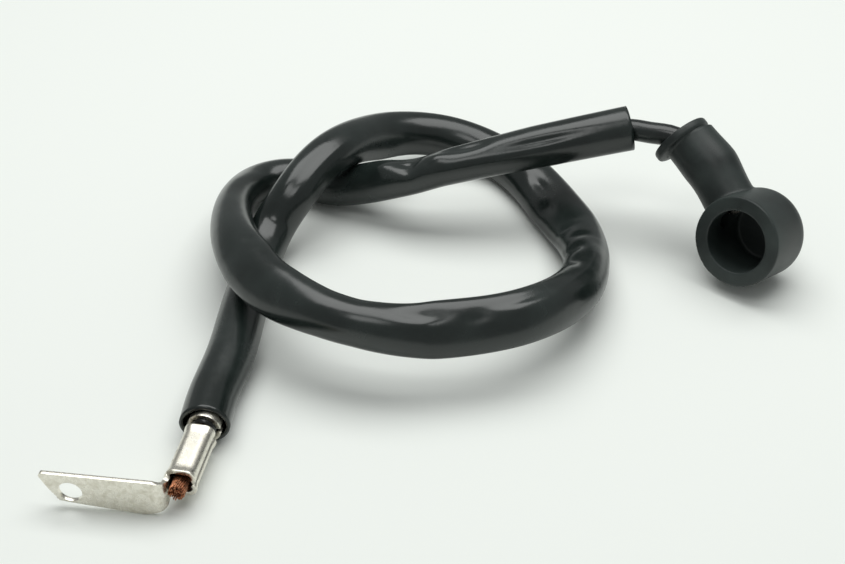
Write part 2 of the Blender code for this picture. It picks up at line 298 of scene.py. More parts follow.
def carried_frames(path: Points) -> tuple[Points, Points]:
    """Two directions across a path that turn no more than the path does.

    Args:
        path: The path's points.

    Returns:
        The first and the second direction at each point.
    """
    ahead = directions(path)
    across = Vector(ahead[0]).orthogonal().normalized()
    first = []
    for way in ahead:
        along = Vector(way)
        across = (across - along * across.dot(along)).normalized()
        first.append(tuple(across))
    first = np.array(first)
    return first, np.cross(ahead, first)


def mesh_piece(name: str, points: Points, faces: Iterable[Sequence[int]]) -> Piece:
    """An object with this mesh, shaded smooth.

    Args:
        name: The object's name.
        points: The mesh's points.
        faces: The mesh's faces, as point numbers.

    Returns:
        The new object.
    """
    mesh = bpy.data.meshes.new(name)
    mesh.from_pydata([tuple(p) for p in points], [], [tuple(f) for f in faces])
    mesh.update()
    mesh.shade_smooth()
    made = bpy.data.objects.new(name, mesh)
    bpy.context.scene.collection.objects.link(made)
    return made


def ring_faces(
    rings: int, around: int, closed: bool = False, start: int = 0
) -> list[tuple[int, ...]]:
    """Quads between rings of points.

    Args:
        rings: How many rings there are.
        around: How many points each ring has.
        closed: Whether the last ring joins the first one.
        start: The number of the first ring's first point.

    Returns:
        The faces.
    """
    faces = []
    for k in range(rings if closed else rings - 1):
        here, there = start + k * around, start + (k + 1) % rings * around
        for j in range(around):
            i = (j + 1) % around
            faces.append((here + j, here + i, there + i, there + j))
    return faces


def select_only(piece: Piece) -> None:
    """Makes a piece the one that operators act on."""
    bpy.ops.object.select_all(action="DESELECT")
    piece.select_set(True)
    bpy.context.view_layer.objects.active = piece


def apply_modifier(piece: Piece, kind: str, **settings: object) -> None:
    """Adds a modifier to a piece and applies it.

    Args:
        piece: The piece.
        kind: The modifier's type.
        settings: The modifier's own properties.
    """
    step = piece.modifiers.new(kind.lower(), kind)
    for name, value in settings.items():
        setattr(step, name, value)
    select_only(piece)
    bpy.ops.object.modifier_apply(modifier=step.name)


def join_or_cut(piece: Piece, operation: str, other: Piece) -> None:
    """Joins a piece with another one, or cuts it, and removes the other."""
    apply_modifier(piece, "BOOLEAN", operation=operation, object=other, solver="EXACT")
    bpy.data.objects.remove(other, do_unlink=True)


def round_bar(
    name: str, radius: float, start: Vector, end: Vector, sides: int = 64
) -> Piece:
    """A round bar between two points, its place in its mesh.

    Args:
        name: The object's name.
        radius: Its radius.
        start: The middle of one end.
        end: The middle of the other end.
        sides: How many sides it has.

    Returns:
        The new object.
    """
    axis = end - start
    turn = axis.to_track_quat("Z", "Y").to_euler()
    bpy.ops.object.select_all(action="DESELECT")
    bpy.ops.mesh.primitive_cylinder_add(
        vertices=sides, radius=radius, depth=axis.length, location=(start + end) / 2, rotation=turn
    )
    made = bpy.context.object
    made.name = name
    bpy.ops.object.transform_apply(location=True, rotation=True, scale=True)
    return made


def finish_piece(
    piece: Piece, material: Material, body: Body
) -> None:
    """Gives a piece its material, and lets it ride on its body.

    Args:
        piece: The piece.
        material: Its material.
        body: The rigid body that carries it.
    """
    piece.data.materials.clear()
    piece.data.materials.append(material)
    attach(piece, body.value)


# ---------------- finishes


@dataclass(frozen=True)
class SoftVinyl:
    """Soft black PVC, extruded: a smooth glossy skin with faint long ripples and a little dust.

    Its gloss is nearly that of wet paint, so that it mirrors the light above and the pale
    ground below.
    """

    name: str = "extruded_soft_pvc_black"
    colour: str = "161d1b"
    worn_colour: str = "242c2a"
    roughness: float = 0.2
    worn_roughness: float = 0.3
    ripple_size: float = 9 * MM
    ripple_height: float = 0.12 * MM
    grain_size: float = 0.9 * MM
    grain_height: float = 0.006 * MM
    refraction: float = 1.57

    def build(self) -> Material:
        """Makes the material."""
        made, tree, shader = blank_material(self.name)
        ripples = add_noise(tree, self.ripple_size, 3.0)
        grain = add_noise(tree, self.grain_size, 4.0)
        wear = add_noise(tree, 3 * self.ripple_size, 6.0, 0.62)
        worn = add_ramp(tree, wear, {0.42: 0.0, 0.68: 1.0})
        low = add_bump(tree, ripples, self.ripple_height)
        feed(tree, shader, {
            "Base Color": add_mix(tree, self.colour, self.worn_colour, worn),
            "Roughness": add_range(tree, worn, self.roughness, self.worn_roughness),
            "Normal": add_bump(tree, grain, self.grain_height, low),
        })
        shader.inputs["IOR"].default_value = self.refraction
        return made


@dataclass(frozen=True)
class MouldedRubber:
    """Moulded EPDM rubber: satin black, with a grey bloom, a fine mould grain and light scuffs."""

    name: str = "moulded_epdm_rubber_black"
    colour: str = "1c2221"
    bloom_colour: str = "353d3b"
    scuff_colour: str = "8d9292"
    roughness: float = 0.4
    bloom_roughness: float = 0.54
    bloom_size: float = 14 * MM
    grain_size: float = 0.35 * MM
    grain_height: float = 0.012 * MM
    scuff_size: float = 2.2 * MM
    refraction: float = 1.45

    def build(self) -> Material:
        """Makes the material."""
        made, tree, shader = blank_material(self.name)
        bloom = add_ramp(tree, add_noise(tree, self.bloom_size, 5.0), {0.35: 0.0, 0.72: 1.0})
        scuffs = add_ramp(tree, add_noise(tree, self.scuff_size, 6.0, 0.7), {0.71: 0.0, 0.78: 0.5})
        tint = add_mix(tree, self.colour, self.bloom_colour, bloom)
        feed(tree, shader, {
            "Base Color": add_mix(tree, tint, self.scuff_colour, scuffs),
            "Roughness": add_range(tree, bloom, self.roughness, self.bloom_roughness),
            "Normal": add_bump(tree, add_noise(tree, self.grain_size, 2.0), self.grain_height),
        })
        shader.inputs["IOR"].default_value = self.refraction
        return made


@dataclass(frozen=True)
class TinnedCopper:
    """Tin plated copper sheet: pale and half bright, with rolling marks, pits and dull spots.

    A stain of dried flux, yellow-green, lies where stain_place says.
    """

    name: str = "tin_plated_copper"
    colour: str = "e9e5da"
    dull_colour: str = "cfc9ba"
    stain_colour: str = "b4b24e"
    roughness: float = 0.26
    dull_roughness: float = 0.46
    spot_size: float = 1.6 * MM
    mark_size: float = 0.25 * MM
    mark_height: float = 0.012 * MM
    pit_size: float = 0.8 * MM
    pit_height: float = 0.05 * MM
    pit_strength: float = 0.35
    stain_place: tuple[float, float, float] = (-72.9 * MM, -65.6 * MM, 11.6 * MM)
    stain_radius: float = 1.5 * MM

    def build(self) -> Material:
        """Makes the material."""
        made, tree, shader = blank_material(self.name)
        place = add_node(tree, "ShaderNodeTexCoord").outputs["Object"]
        cloud = add_noise(tree, self.spot_size, 7.0, 0.65)
        dull = add_ramp(tree, cloud, {0.45: 0.0, 0.75: 1.0})
        pits = add_node(
            tree, "ShaderNodeTexVoronoi", {"Scale": 1 / self.pit_size, "Randomness": 1.0},
            {"Vector": place},
        )
        pit = add_ramp(tree, pits.outputs["Distance"], {0.0: 0.0, 0.16: 1.0})
        away = add_node(
            tree, "ShaderNodeVectorMath", {1: self.stain_place}, {0: place}, operation="DISTANCE"
        )
        near = add_node(
            tree, "ShaderNodeMapRange", {1: 0.0, 2: self.stain_radius, 3: 1.0, 4: 0.0},
            {0: away.outputs["Value"]},
        )
        stain = add_node(
            tree, "ShaderNodeMath", links={0: near.outputs[0], 1: cloud}, operation="MULTIPLY"
        )
        stained = add_ramp(tree, stain.outputs[0], {0.12: 0.0, 0.32: 0.85})
        tint = add_mix(tree, self.colour, self.dull_colour, dull)
        fine = add_bump(tree, add_noise(tree, self.mark_size, 3.0), self.mark_height)
        feed(tree, shader, {
            "Base Color": add_mix(tree, tint, self.stain_colour, stained),
            "Roughness": add_range(tree, dull, self.roughness, self.dull_roughness),
            "Normal": add_bump(tree, pit, self.pit_height, fine, self.pit_strength),
        })
        shader.inputs["Metallic"].default_value = 1.0
        return made


@dataclass(frozen=True)
class DrawnCopper:
    """Bare drawn copper wire: warm and bright where it is fresh, brown where it has tarnished."""

    name: str = "drawn_copper_wire"
    colour: str = "d0906c"
    tarnish_colour: str = "5e3626"
    roughness: float = 0.34
    tarnish_size: float = 0.7 * MM

    def build(self) -> Material:
        """Makes the material."""
        made, tree, shader = blank_material(self.name)
        cloud = add_noise(tree, self.tarnish_size, 3.0)
        tarnish = add_ramp(tree, cloud, {0.4: self.colour, 0.66: self.tarnish_colour})
        feed(tree, shader, {"Base Color": tarnish})
        shader.inputs["Metallic"].default_value = 1.0
        shader.inputs["Roughness"].default_value = self.roughness
        return made


@dataclass(frozen=True)
class PaleGround:
    """Smooth white laminate with a faint green cast, nearly matt."""

    name: str = "white_laminate"
    colour: str = "f3f6f2"
    roughness: float = 0.6
    reflection: float = 0.25

    def build(self) -> Material:
        """Makes the material."""
        made, _, shader = blank_material(self.name)
        shader.inputs["Base Color"].default_value = linear(self.colour)
        shader.inputs["Roughness"].default_value = self.roughness
        shader.inputs["Specular IOR Level"].default_value = self.reflection
        return made


# ---------------- studio


@dataclass
class Studio:
    """Ground, camera and lights."""

    camera_place: tuple[float, float, float] = (-0.009, -0.3354, 0.280)
    camera_tilt: float = math.radians(52.5)
    camera_lens: float = 63.9
    sensor_width: float = 36.0
    clip_start: float = 0.01
    ground_size: float = 6.0
    light_aim: tuple[float, float, float] = (0.0, 0.02, 0.0)
    softbox_place: tuple[float, float, float] = (0.05, 0.28, 0.85)
    softbox_size: tuple[float, float] = (1.15, 0.65)
    softbox_power: float = 7.0
    key_place: tuple[float, float, float] = (-0.12, -0.32, 0.90)
    key_size: tuple[float, float] = (0.4, 0.3)
    key_power: float = 1.0
    world_colour: str = "f2f5f4"
    world_light: float = 0.32
    light_colour: tuple[float, float, float] = (0.985, 1.0, 0.985)

    def place_camera(self) -> None:
        """Puts the camera in front of the lead and above it, looking down."""
        data = bpy.data.cameras.new("camera")
        data.lens = self.camera_lens
        data.sensor_width = self.sensor_width
        data.clip_start = self.clip_start
        camera = bpy.data.objects.new("camera", data)
        camera.location = self.camera_place
        camera.rotation_euler = (self.camera_tilt, 0.0, 0.0)
        bpy.context.scene.collection.objects.link(camera)
        bpy.context.scene.camera = camera

    def lay_ground(self) -> None:
        """Lays the pale ground that the lead lies on."""
        bpy.ops.object.select_all(action="DESELECT")
        bpy.ops.mesh.primitive_plane_add(size=self.ground_size, location=(0.0, 0.0, 0.0))
        ground = bpy.context.object
        ground.name = "ground"
        ground.data.materials.append(PaleGround().build())

    def add_softbox(
        self, name: str, place: Vector, size: tuple[float, float], power: float
    ) -> None:
        """Adds one rectangular soft light that faces the lead.

        Args:
            name: The light's name.
            place: Its middle.
            size: Its width and its height.
            power: Its power in watts.
        """
        data = bpy.data.lights.new(name, "AREA")
        data.shape = "RECTANGLE"
        data.size, data.size_y = size
        data.energy = power
        data.color = self.light_colour
        light = bpy.data.objects.new(name, data)
        turn = (Vector(self.light_aim) - place).to_track_quat("-Z", "Y")
        light.matrix_world = Matrix.Translation(place) @ turn.to_matrix().to_4x4()
        bpy.context.scene.collection.objects.link(light)

    def light(self) -> None:
        """Lights the lead softly from above, in a pale room."""
        world = bpy.data.worlds.new("room")
        world.use_nodes = True
        sky = world.node_tree.nodes["Background"]
        sky.inputs["Color"].default_value = linear(self.world_colour)
        sky.inputs["Strength"].default_value = self.world_light
        bpy.context.scene.world = world
        bpy.context.scene.view_settings.view_transform = "Standard"
        above, key = Vector(self.softbox_place), Vector(self.key_place)
        self.add_softbox("softbox_above", above, self.softbox_size, self.softbox_power)
        self.add_softbox("key_light", key, self.key_size, self.key_power)


# ---------------- cords


SLEEVE_ROUTE = np.array([
    (-0.0670, -0.0420, 0.0070), (-0.0660, -0.0300, 0.0068), (-0.0635, -0.0160, 0.0068),
    (-0.0620, -0.0025, 0.0068), (-0.0610, 0.0100, 0.0068), (-0.0595, 0.0235, 0.0068),
    (-0.0580, 0.0360, 0.0075), (-0.0547, 0.0453, 0.0110), (-0.0493, 0.0505, 0.0175),
    (-0.0430, 0.0600, 0.0215), (-0.0356, 0.0710, 0.0220), (-0.0275, 0.0832, 0.0185),
    (-0.0185, 0.0925, 0.0145), (-0.0065, 0.0965, 0.0115), (0.0050, 0.0955, 0.0090),
    (0.0170, 0.0885, 0.0070), (0.0265, 0.0755, 0.0068), (0.0330, 0.0605, 0.0068),
    (0.0384, 0.0455, 0.0075), (0.0405, 0.0280, 0.0095), (0.0362, 0.0095, 0.0135),
    (0.0290, -0.0025, 0.0170), (0.0210, -0.0105, 0.0195), (0.0110, -0.0150, 0.0200),
    (-0.0095, -0.0180, 0.0200), (-0.0305, -0.0150, 0.0210), (-0.0490, -0.0035, 0.0215),
    (-0.0560, 0.0050, 0.0213), (-0.0622, 0.0175, 0.0205), (-0.0666, 0.0350, 0.0170),
    (-0.0677, 0.0580, 0.0110), (-0.0640, 0.0710, 0.0078), (-0.0573, 0.0765, 0.0068),
    (-0.0485, 0.0765, 0.0068), (-0.0385, 0.0720, 0.0072), (-0.0280, 0.0680, 0.0105),
    (-0.0175, 0.0630, 0.0160), (-0.0065, 0.0610, 0.0200), (0.0205, 0.0630, 0.0260),
    (0.0560, 0.0671, 0.0320),
])

WIRE_TO_BOOT = np.array([
    (0.0375, 0.0653, 0.0288), (0.0475, 0.0667, 0.0306), (0.0561, 0.0665, 0.0318),
    (0.0620, 0.0641, 0.0322), (0.0676, 0.0618, 0.0326),
])

BOOT_PLACE = np.array([0.0921, 0.0349, 0.014278])
NECK_AXIS = np.array([-0.55893, 0.676915, 0.47894])
MOUTH_AXIS = np.array([-0.635327, -0.720757, 0.277253])
TERMINAL_TIP = 20.0 * MM
TERMINAL_END = 31.3 * MM
STRAIGHT_INTO_BARREL = 5.0 * MM


@dataclass(frozen=True)
class Width:
    """How wide the flattened sleeve is at a distance from its lug end."""

    distance: float
    width: float


@dataclass(frozen=True)
class Dent:
    """A hollow in the sleeve, or a bump where its depth is negative.

    The angle is 90 degrees on the side that faces up and forward, and the hollow fades out
    over the length along the sleeve and over the spread in degrees round it.
    """

    distance: float
    angle: float
    depth: float
    length: float
    spread: float


@dataclass
class Sleeve:
    """Loose PVC sleeve in an overhand knot: a soft tube, flattened and creased where it bends."""

    length: float = 0.592
    diameter: float = 13.0 * MM
    wall: float = 0.95 * MM
    least_half: float = 4.45 * MM
    step: float = 1.1 * MM
    around: int = 72
    edge_sharpness: float = 1.86
    ground_gap: float = 0.3 * MM
    facing: tuple[float, float, float] = (0.0, -0.79, 0.61)
    width_smoothing: float = 6 * MM
    most_path_points: int = 200
    widths: tuple[Width, ...] = tuple(Width(place, width * MM) for place, width in (
        (0.000, 13.7), (0.015, 13.7), (0.040, 13.9),
        (0.070, 13.5), (0.098, 13.6), (0.120, 14.0),
        (0.156, 14.2), (0.190, 14.6), (0.222, 16.6),
        (0.238, 16.4), (0.251, 14.8), (0.262, 13.8),
        (0.282, 15.0), (0.315, 15.8), (0.333, 16.4),
        (0.345, 14.4), (0.354, 13.2), (0.364, 13.6),
        (0.378, 15.8), (0.397, 16.6), (0.412, 14.6),
        (0.428, 12.9), (0.448, 11.2), (0.475, 12.6),
        (0.505, 13.2), (0.520, 12.6), (0.529, 11.4),
        (0.540, 11.8), (0.560, 13.4), (0.592, 14.2),
    ))
    dents: tuple[Dent, ...] = tuple(
        Dent(place, angle, depth * MM, length * MM, spread)
        for place, angle, depth, length, spread in (
        (0.321, 62, 0.5, 4.5, 24), (0.338, 30, 1.4, 8.0, 30),
        (0.304, 32, 0.8, 13.0, 15), (0.218, 100, 1.2, 5.0, 30),
        (0.228, 60, 0.9, 3.0, 24), (0.244, 60, 0.5, 1.9, 34),
        (0.252, 85, 0.4, 1.7, 34), (0.260, 35, 0.9, 2.6, 30),
        (0.272, 30, 0.7, 4.0, 22), (0.146, 0, -1.3, 12.0, 40),
        (0.521, 104, 1.6, 2.0, 18), (0.521, 132, 2.2, 3.6, 22),
        (0.521, 172, 1.9, 6.5, 30), (0.513, 122, -0.8, 2.6, 18),
        (0.530, 118, -0.7, 3.0, 16), (0.540, 135, 0.9, 6.0, 18),
        (0.560, 100, 0.7, 15.0, 14), (0.108, 100, 0.5, 14.0, 16),
    ))

    def section_halves(self, along: Points) -> tuple[Points, Points]:
        """Half the width and half the height of the sleeve at each distance.

        Args:
            along: Distances from the lug end.

        Returns:
            The half widths and the half heights; the way round the sleeve stays the same length.
        """
        marks = [w.distance for w in self.widths]
        sizes = [w.width / 2 for w in self.widths]
        wide = np.interp(along, marks, sizes)
        span = max(3, round(self.width_smoothing / self.step) | 1)
        soft = np.hanning(span + 2)[1:-1]
        wide = np.convolve(np.pad(wide, span // 2, mode="edge"), soft / soft.sum(), mode="valid")
        high = np.sqrt(np.maximum(self.diameter**2 / 2 - wide**2, self.least_half**2))
        return wide, high

    def dent_depth(self, along: Points, angles: Points) -> Points:
        """How deep the sleeve is pressed in.

        Args:
            along: Distances from the lug end.
            angles: Angles round the sleeve, in radians.

        Returns:
            The depth, one row for each distance and one column for each angle.
        """
        depth = np.zeros((len(along), len(angles)))
        for dent in self.dents:
            off = (along[:, None] - dent.distance) / dent.length
            turn = (np.degrees(angles)[None] - dent.angle + 180) % 360 - 180
            depth += dent.depth * np.exp(-(off**2) - (turn / dent.spread) ** 2)
        return depth

    def build(self, material: Material) -> None:
        """Args:
            material: Its soft PVC.
        """
        path = cubic_curve(SLEEVE_ROUTE, self.step)
        along = distances(path)
        ahead = directions(path)
        facing = np.array(self.facing)[None]
        up = unit(facing - ahead * (ahead * facing).sum(1)[:, None])
        across = np.cross(ahead, up)
        angles = np.linspace(0, 2 * math.pi, self.around, endpoint=False)
        wide, high = self.section_halves(along)
        power = self.edge_sharpness
        cos, sin = np.cos(angles)[None], np.sin(angles)[None]
        flatness = np.abs(cos / wide[:, None]) ** power + np.abs(sin / high[:, None]) ** power
        reach = flatness ** (-1 / power)
        outer = reach - self.dent_depth(along, angles)
        rings = []
        for size in (outer, (outer - self.wall)[::-1]):
            back = size is not outer
            middle, side, face = (rows[::-1] if back else rows for rows in (path, across, up))
            sideways = side[:, None] * (size * cos)[..., None]
            rings.append(middle[:, None] + sideways + face[:, None] * (size * sin)[..., None])
        points = np.concatenate(rings)
        points[..., 2] = np.maximum(points[..., 2], self.ground_gap)
        faces = ring_faces(len(points), self.around, closed=True)
        sleeve = mesh_piece("loose_sleeve", points.reshape(-1, 3), faces)
        finish_piece(sleeve, material, Body.LEAD)
        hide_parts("sleeve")


@dataclass
class Wire:
    """PVC insulated stranded wire, from the lug through the sleeve to the ring terminal."""

    length: float = 0.617
    diameter: float = 6.8 * MM
    strand: float = 0.5 * MM
    layers: int = 4
    twist_length: float = 75 * MM
    step: float = 2.0 * MM
    around: int = 32
    strand_sides: int = 5
    strand_fill: float = 0.43
    layer_spacing: float = 1.01
    layer_turn: float = 0.3
    bore_room: float = 1.3
    ragged_end: float = 1.1 * MM
    seed: int = 7
    core_stride: int = 4
    path_stride: int = 2
    insulation_runs: tuple[float, ...] = (19.3 * MM, 24.0 * MM, 29.0 * MM)
    core_runs: tuple[float, ...] = (-3.4 * MM, 4.0 * MM, 10.0 * MM, 16.0 * MM)

    def insulation_route(self) -> Points:
        """The points that the insulation passes through, from the grip to the boot's neck."""
        lug_end = np.array([Lug.axis_point(run) for run in self.insulation_runs])
        terminal_end = BOOT_PLACE + NECK_AXIS * TERMINAL_END
        straight_start = terminal_end + NECK_AXIS * STRAIGHT_INTO_BARREL
        neck = np.array([straight_start, (straight_start + terminal_end) / 2, terminal_end])
        return np.concatenate([lug_end, SLEEVE_ROUTE[2:-2], WIRE_TO_BOOT, neck])

    def conductor_path(self, insulation: Points) -> Points:
        """The middle of the conductor, which stands out at both ends of the insulation."""
        front = np.array([Lug.axis_point(run) for run in self.core_runs])
        back = (BOOT_PLACE + NECK_AXIS * TERMINAL_TIP)[None]
        inside = insulation[1 : -1 : self.core_stride]
        return cubic_curve(np.concatenate([front, inside, insulation[-1:], back]), self.step)

    def build_insulation(self, path: Points, material: Material) -> Piece:
        """Builds the insulation as a tube that is cut square at both ends.

        Args:
            path: The middle of the wire.
            material: Its PVC.

        Returns:
            The finished piece.
        """
        first, second = carried_frames(path)
        turns = np.linspace(0, 2 * math.pi, self.around, endpoint=False)
        cos, sin = np.cos(turns)[None, :, None], np.sin(turns)[None, :, None]
        ring = first[:, None] * cos + second[:, None] * sin
        bore = (self.layers * 2 + self.bore_room) / 2 * self.strand
        outer = path[:, None] + ring * self.diameter / 2
        inner = path[:, None] + ring * bore
        points = np.concatenate([outer, inner[::-1]])
        faces = ring_faces(len(points), self.around, closed=True)
        wire = mesh_piece("wire_insulation_tube", points.reshape(-1, 3), faces)
        finish_piece(wire, material, Body.LEAD)
        return wire

    def build_strands(self, path: Points, material: Material) -> Piece:
        """Builds the strands of the conductor, one mesh, each strand a closed rod in its own layer.

        Args:
            path: The middle of the conductor.
            material: Its drawn copper.

        Returns:
            The finished piece.
        """
        chance = random.Random(self.seed)
        first, second = carried_frames(path)
        along = distances(path)
        spots = [(0.0, 0.0)]
        for layer in range(1, self.layers + 1):
            for k in range(6 * layer):
                turn = 2 * math.pi * k / (6 * layer) + self.layer_turn * layer
                spots.append((layer * self.strand * self.layer_spacing, turn))
        turns = np.linspace(0, 2 * math.pi, self.strand_sides, endpoint=False)
        cos, sin = np.cos(turns)[None, :, None], np.sin(turns)[None, :, None]
        side, face = np.concatenate([first[:1], first]), np.concatenate([second[:1], second])
        spread = side[:, None] * cos + face[:, None] * sin
        points, faces = [], []
        for radius, turn in spots:
            swing = turn + 2 * math.pi * along / self.twist_length
            middle = path + first * (radius * np.cos(swing))[:, None]
            middle += second * (radius * np.sin(swing))[:, None]
            tip = middle[:1] - directions(path)[:1] * chance.uniform(0, self.ragged_end)
            rings = np.concatenate([tip, middle])[:, None] + spread * self.strand * self.strand_fill
            start = sum(len(p) for p in points)
            points.append(rings.reshape(-1, 3))
            faces += ring_faces(len(rings), self.strand_sides, start=start)
            faces.append(tuple(range(start + self.strand_sides - 1, start - 1, -1)))
            last = start + (len(rings) - 1) * self.strand_sides
            faces.append(tuple(range(last, last + self.strand_sides)))
        strands = mesh_piece("conductor_strands", np.concatenate(points), faces)
        finish_piece(strands, material, Body.LEAD)
        return strands

    def build(self, pvc: Material, copper: Material) -> None:
        """Args:
            pvc: The insulation's PVC.
            copper: The strands' drawn copper.
        """
        path = cubic_curve(self.insulation_route(), self.step)
        insulation = self.build_insulation(path, pvc)
        strands = self.build_strands(self.conductor_path(path), copper)
        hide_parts("wire_insulation")
        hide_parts(*(f"conductor_bunch_{k}" for k in range(1, 8)))


# ---------------- lug


TONGUE_HEADING = math.radians(172.4)
BARREL_HEADING = math.radians(80.0)


@dataclass
class Lug:
    """Bolt lug pressed from one tin plated strip: tongue, bend, folded barrel and grip."""

    sheet: float = 1.2 * MM
    width: float = 11.3 * MM
    tongue_length: float = 31.8 * MM
    bend_radius: float = 2.2 * MM
    bolt_hole: float = 6.4 * MM
    hole_to_tip: float = 7.8 * MM
    barrel_length: float = 17.5 * MM
    barrel_set_back: float = 5.2 * MM
    barrel_half: float = 3.3 * MM
    fold_radius: float = 1.9 * MM
    seam_radius: float = 0.75 * MM
    grip_gap: float = 3.0 * MM
    grip_length: float = 3.5 * MM
    grip_radius: float = 4.1 * MM
    grip_blank: float = 12.3 * MM
    barrel_blank: float = 11.25 * MM
    neck_half: float = 2.8 * MM
    neck_columns: int = 8
    columns: int = 36
    mouth_flare: float = 0.09
    mouth_reach: float = 1.3 * MM
    tip_corner: float = 0.9 * MM
    tip_slant: float = 4.2 * MM
    tip_rise: float = 2.4 * MM
    early_taper: float = 3.2 * MM
    step: float = 0.4 * MM
    edge: float = 0.16 * MM
    bend_steps: int = 12
    sharp_angle: float = math.radians(40)

    corner = np.array([-74.7, -68.1, 0.0]) * MM
    tongue_way = np.array([math.cos(TONGUE_HEADING), math.sin(TONGUE_HEADING), 0.0])
    along = np.array([math.cos(BARREL_HEADING), math.sin(BARREL_HEADING), 0.0])
    across = np.array([math.sin(BARREL_HEADING), -math.cos(BARREL_HEADING), 0.0])
    barrel_height = 7.0 * MM
    barrel_side = 3.3 * MM

    @classmethod
    def axis_point(cls, run: float) -> Points:
        """The point on the barrel's axis at this distance behind its front end."""
        place = cls.corner + cls.across * cls.barrel_side
        place = place + cls.along * (cls.barrel_set_back + run)
        return place + np.array([0.0, 0.0, cls.barrel_height])

    def line(self) -> tuple[Points, Points]:
        """The strip's middle seen from above, from the tongue's tip, and where its parts begin.

        Returns:
            The evenly spaced points, and the distances of the bend's start and end, the barrel's
            front and the grip's end.
        """
        half_turn = (math.pi - math.acos(float(np.dot(self.tongue_way, self.along)))) / 2
        tangent = self.bend_radius * math.tan(half_turn)
        middle = unit((self.tongue_way + self.along)[None])[0]
        centre = self.corner + middle * self.bend_radius / math.cos(half_turn)
        first = Vector(self.corner + self.tongue_way * tangent - centre).normalized()
        last = Vector(self.corner + self.along * tangent - centre).normalized()
        arc = [
            centre + np.array(first.slerp(last, k / self.bend_steps)) * self.bend_radius
            for k in range(self.bend_steps + 1)
        ]
        end = self.barrel_set_back + self.barrel_length + self.grip_gap + self.grip_length
        tip = self.corner + self.tongue_way * self.tongue_length
        points = np.array([tip, *arc, self.corner + self.along * end])
        so_far = distances(points)
        barrel_front = so_far[-1] - (end - self.barrel_set_back)
        marks = np.array([so_far[1], so_far[-2], barrel_front, so_far[-1]])
        places = np.linspace(0, so_far[-1], round(so_far[-1] / self.step) + 1)
        line = np.stack([np.interp(places, so_far, points[:, k]) for k in range(3)], axis=1)
        return line, marks

    def folded_section(self, across: Points) -> tuple[Points, Points]:
        """Where the barrel's fold takes the blank's width.

        Args:
            across: Distances from the blank's middle line.

        Returns:
            For each, how far it lies toward the seam from the barrel's axis, and how far above.
        """
        side = np.abs(across)
        flat = self.barrel_half - self.fold_radius
        turn = self.fold_radius * math.pi / 2
        ends = np.cumsum([flat, turn, 2 * flat, turn])
        first = np.clip(side - ends[0], 0, turn) / self.fold_radius
        second = np.clip(side - ends[2], 0, turn) / self.fold_radius
        curl = np.maximum(side - ends[3], 0) / self.seam_radius
        seam = -self.barrel_half + self.fold_radius * (1 - np.cos(first))
        seam = seam + np.clip(side - ends[1], 0, 2 * flat)
        seam += self.fold_radius * np.sin(second) - self.seam_radius * (1 - np.cos(curl))
        above = np.clip(side, 0, flat) + self.fold_radius * np.sin(first)
        above -= self.fold_radius * (1 - np.cos(second)) + self.seam_radius * np.sin(curl)
        return seam, above * np.sign(across)

    def fold(self, blank: Piece) -> None:
        """Cuts the flat blank to its outline and folds it into tongue, bend, barrel and grip.

        Args:
            blank: A grid; its rows run along the strip and its columns across it.
        """
        line, (bend_start, bend_end, barrel_front, end) = self.line()
        places = distances(line)
        ahead = directions(line)
        facing = np.stack([ahead[:, 1], -ahead[:, 0], np.zeros(len(ahead))], axis=1)
        barrel_end = barrel_front + self.barrel_length
        grip_front = barrel_end + self.grip_gap
        column = self.neck_half / self.neck_columns
        mesh = bmesh.new()
        mesh.from_mesh(blank.data)
        outside = []
        for face in mesh.faces:
            spot = face.calc_center_median()
            run, side = spot.x * end, abs(spot.y) * self.columns * column
            limit = self.neck_half
            if barrel_front < run < barrel_end:
                limit = self.barrel_blank
            if run > grip_front:
                limit = self.grip_blank
            if side > limit:
                outside.append(face)
        bmesh.ops.delete(mesh, geom=outside, context="FACES")
        for point in mesh.verts:
            run, side = point.co.x * end, point.co.y * self.columns * column
            taper = smooth_part(run, bend_end, barrel_front)
            narrow_start = bend_start - (self.early_taper if side < 0 else 0.0)
            narrowing = 1 - min(max((run - narrow_start) / (barrel_front - narrow_start), 0), 1)
            tongue_half = self.width / 2
            if run < self.tip_corner:
                short = self.tip_corner - run
                tongue_half -= self.tip_corner - math.sqrt(self.tip_corner**2 - short**2)
            if run <= barrel_front:
                side *= 1 + (tongue_half / self.neck_half - 1) * narrowing
            seam, above = (float(v) for v in self.folded_section(np.array(side)))
            mouth = math.exp(-(((run - barrel_front) / self.mouth_reach) ** 2))
            mouth += math.exp(-(((run - barrel_end) / self.mouth_reach) ** 2))
            seam *= 1 + self.mouth_flare * mouth
            above *= 1 + self.mouth_flare * mouth
            seam = -self.barrel_half + (seam + self.barrel_half) * taper
            above = side + (above - side) * taper
            grip = smooth_part(run, barrel_end, grip_front)
            seam += (-self.grip_radius * math.cos(side / self.grip_radius) - seam) * grip
            above += (self.grip_radius * math.sin(side / self.grip_radius) - above) * grip
            height = self.width / 2 + (self.barrel_height - self.width / 2) * taper
            low = (1 - side / tongue_half) / 2
            from_tip = max(1 - run / bend_start, 0)
            run += self.tip_slant * low * from_tip**4
            above += self.tip_rise * low**2 * from_tip
            place = [np.interp(run, places, line[:, k]) for k in range(3)]
            way = unit(np.array([[np.interp(run, places, facing[:, k]) for k in range(3)]]))[0]
            inward = Vector(way) * (seam + self.barrel_half)
            point.co = Vector(place) + inward + Vector((0, 0, height + above))
        mesh.to_mesh(blank.data)
        mesh.free()

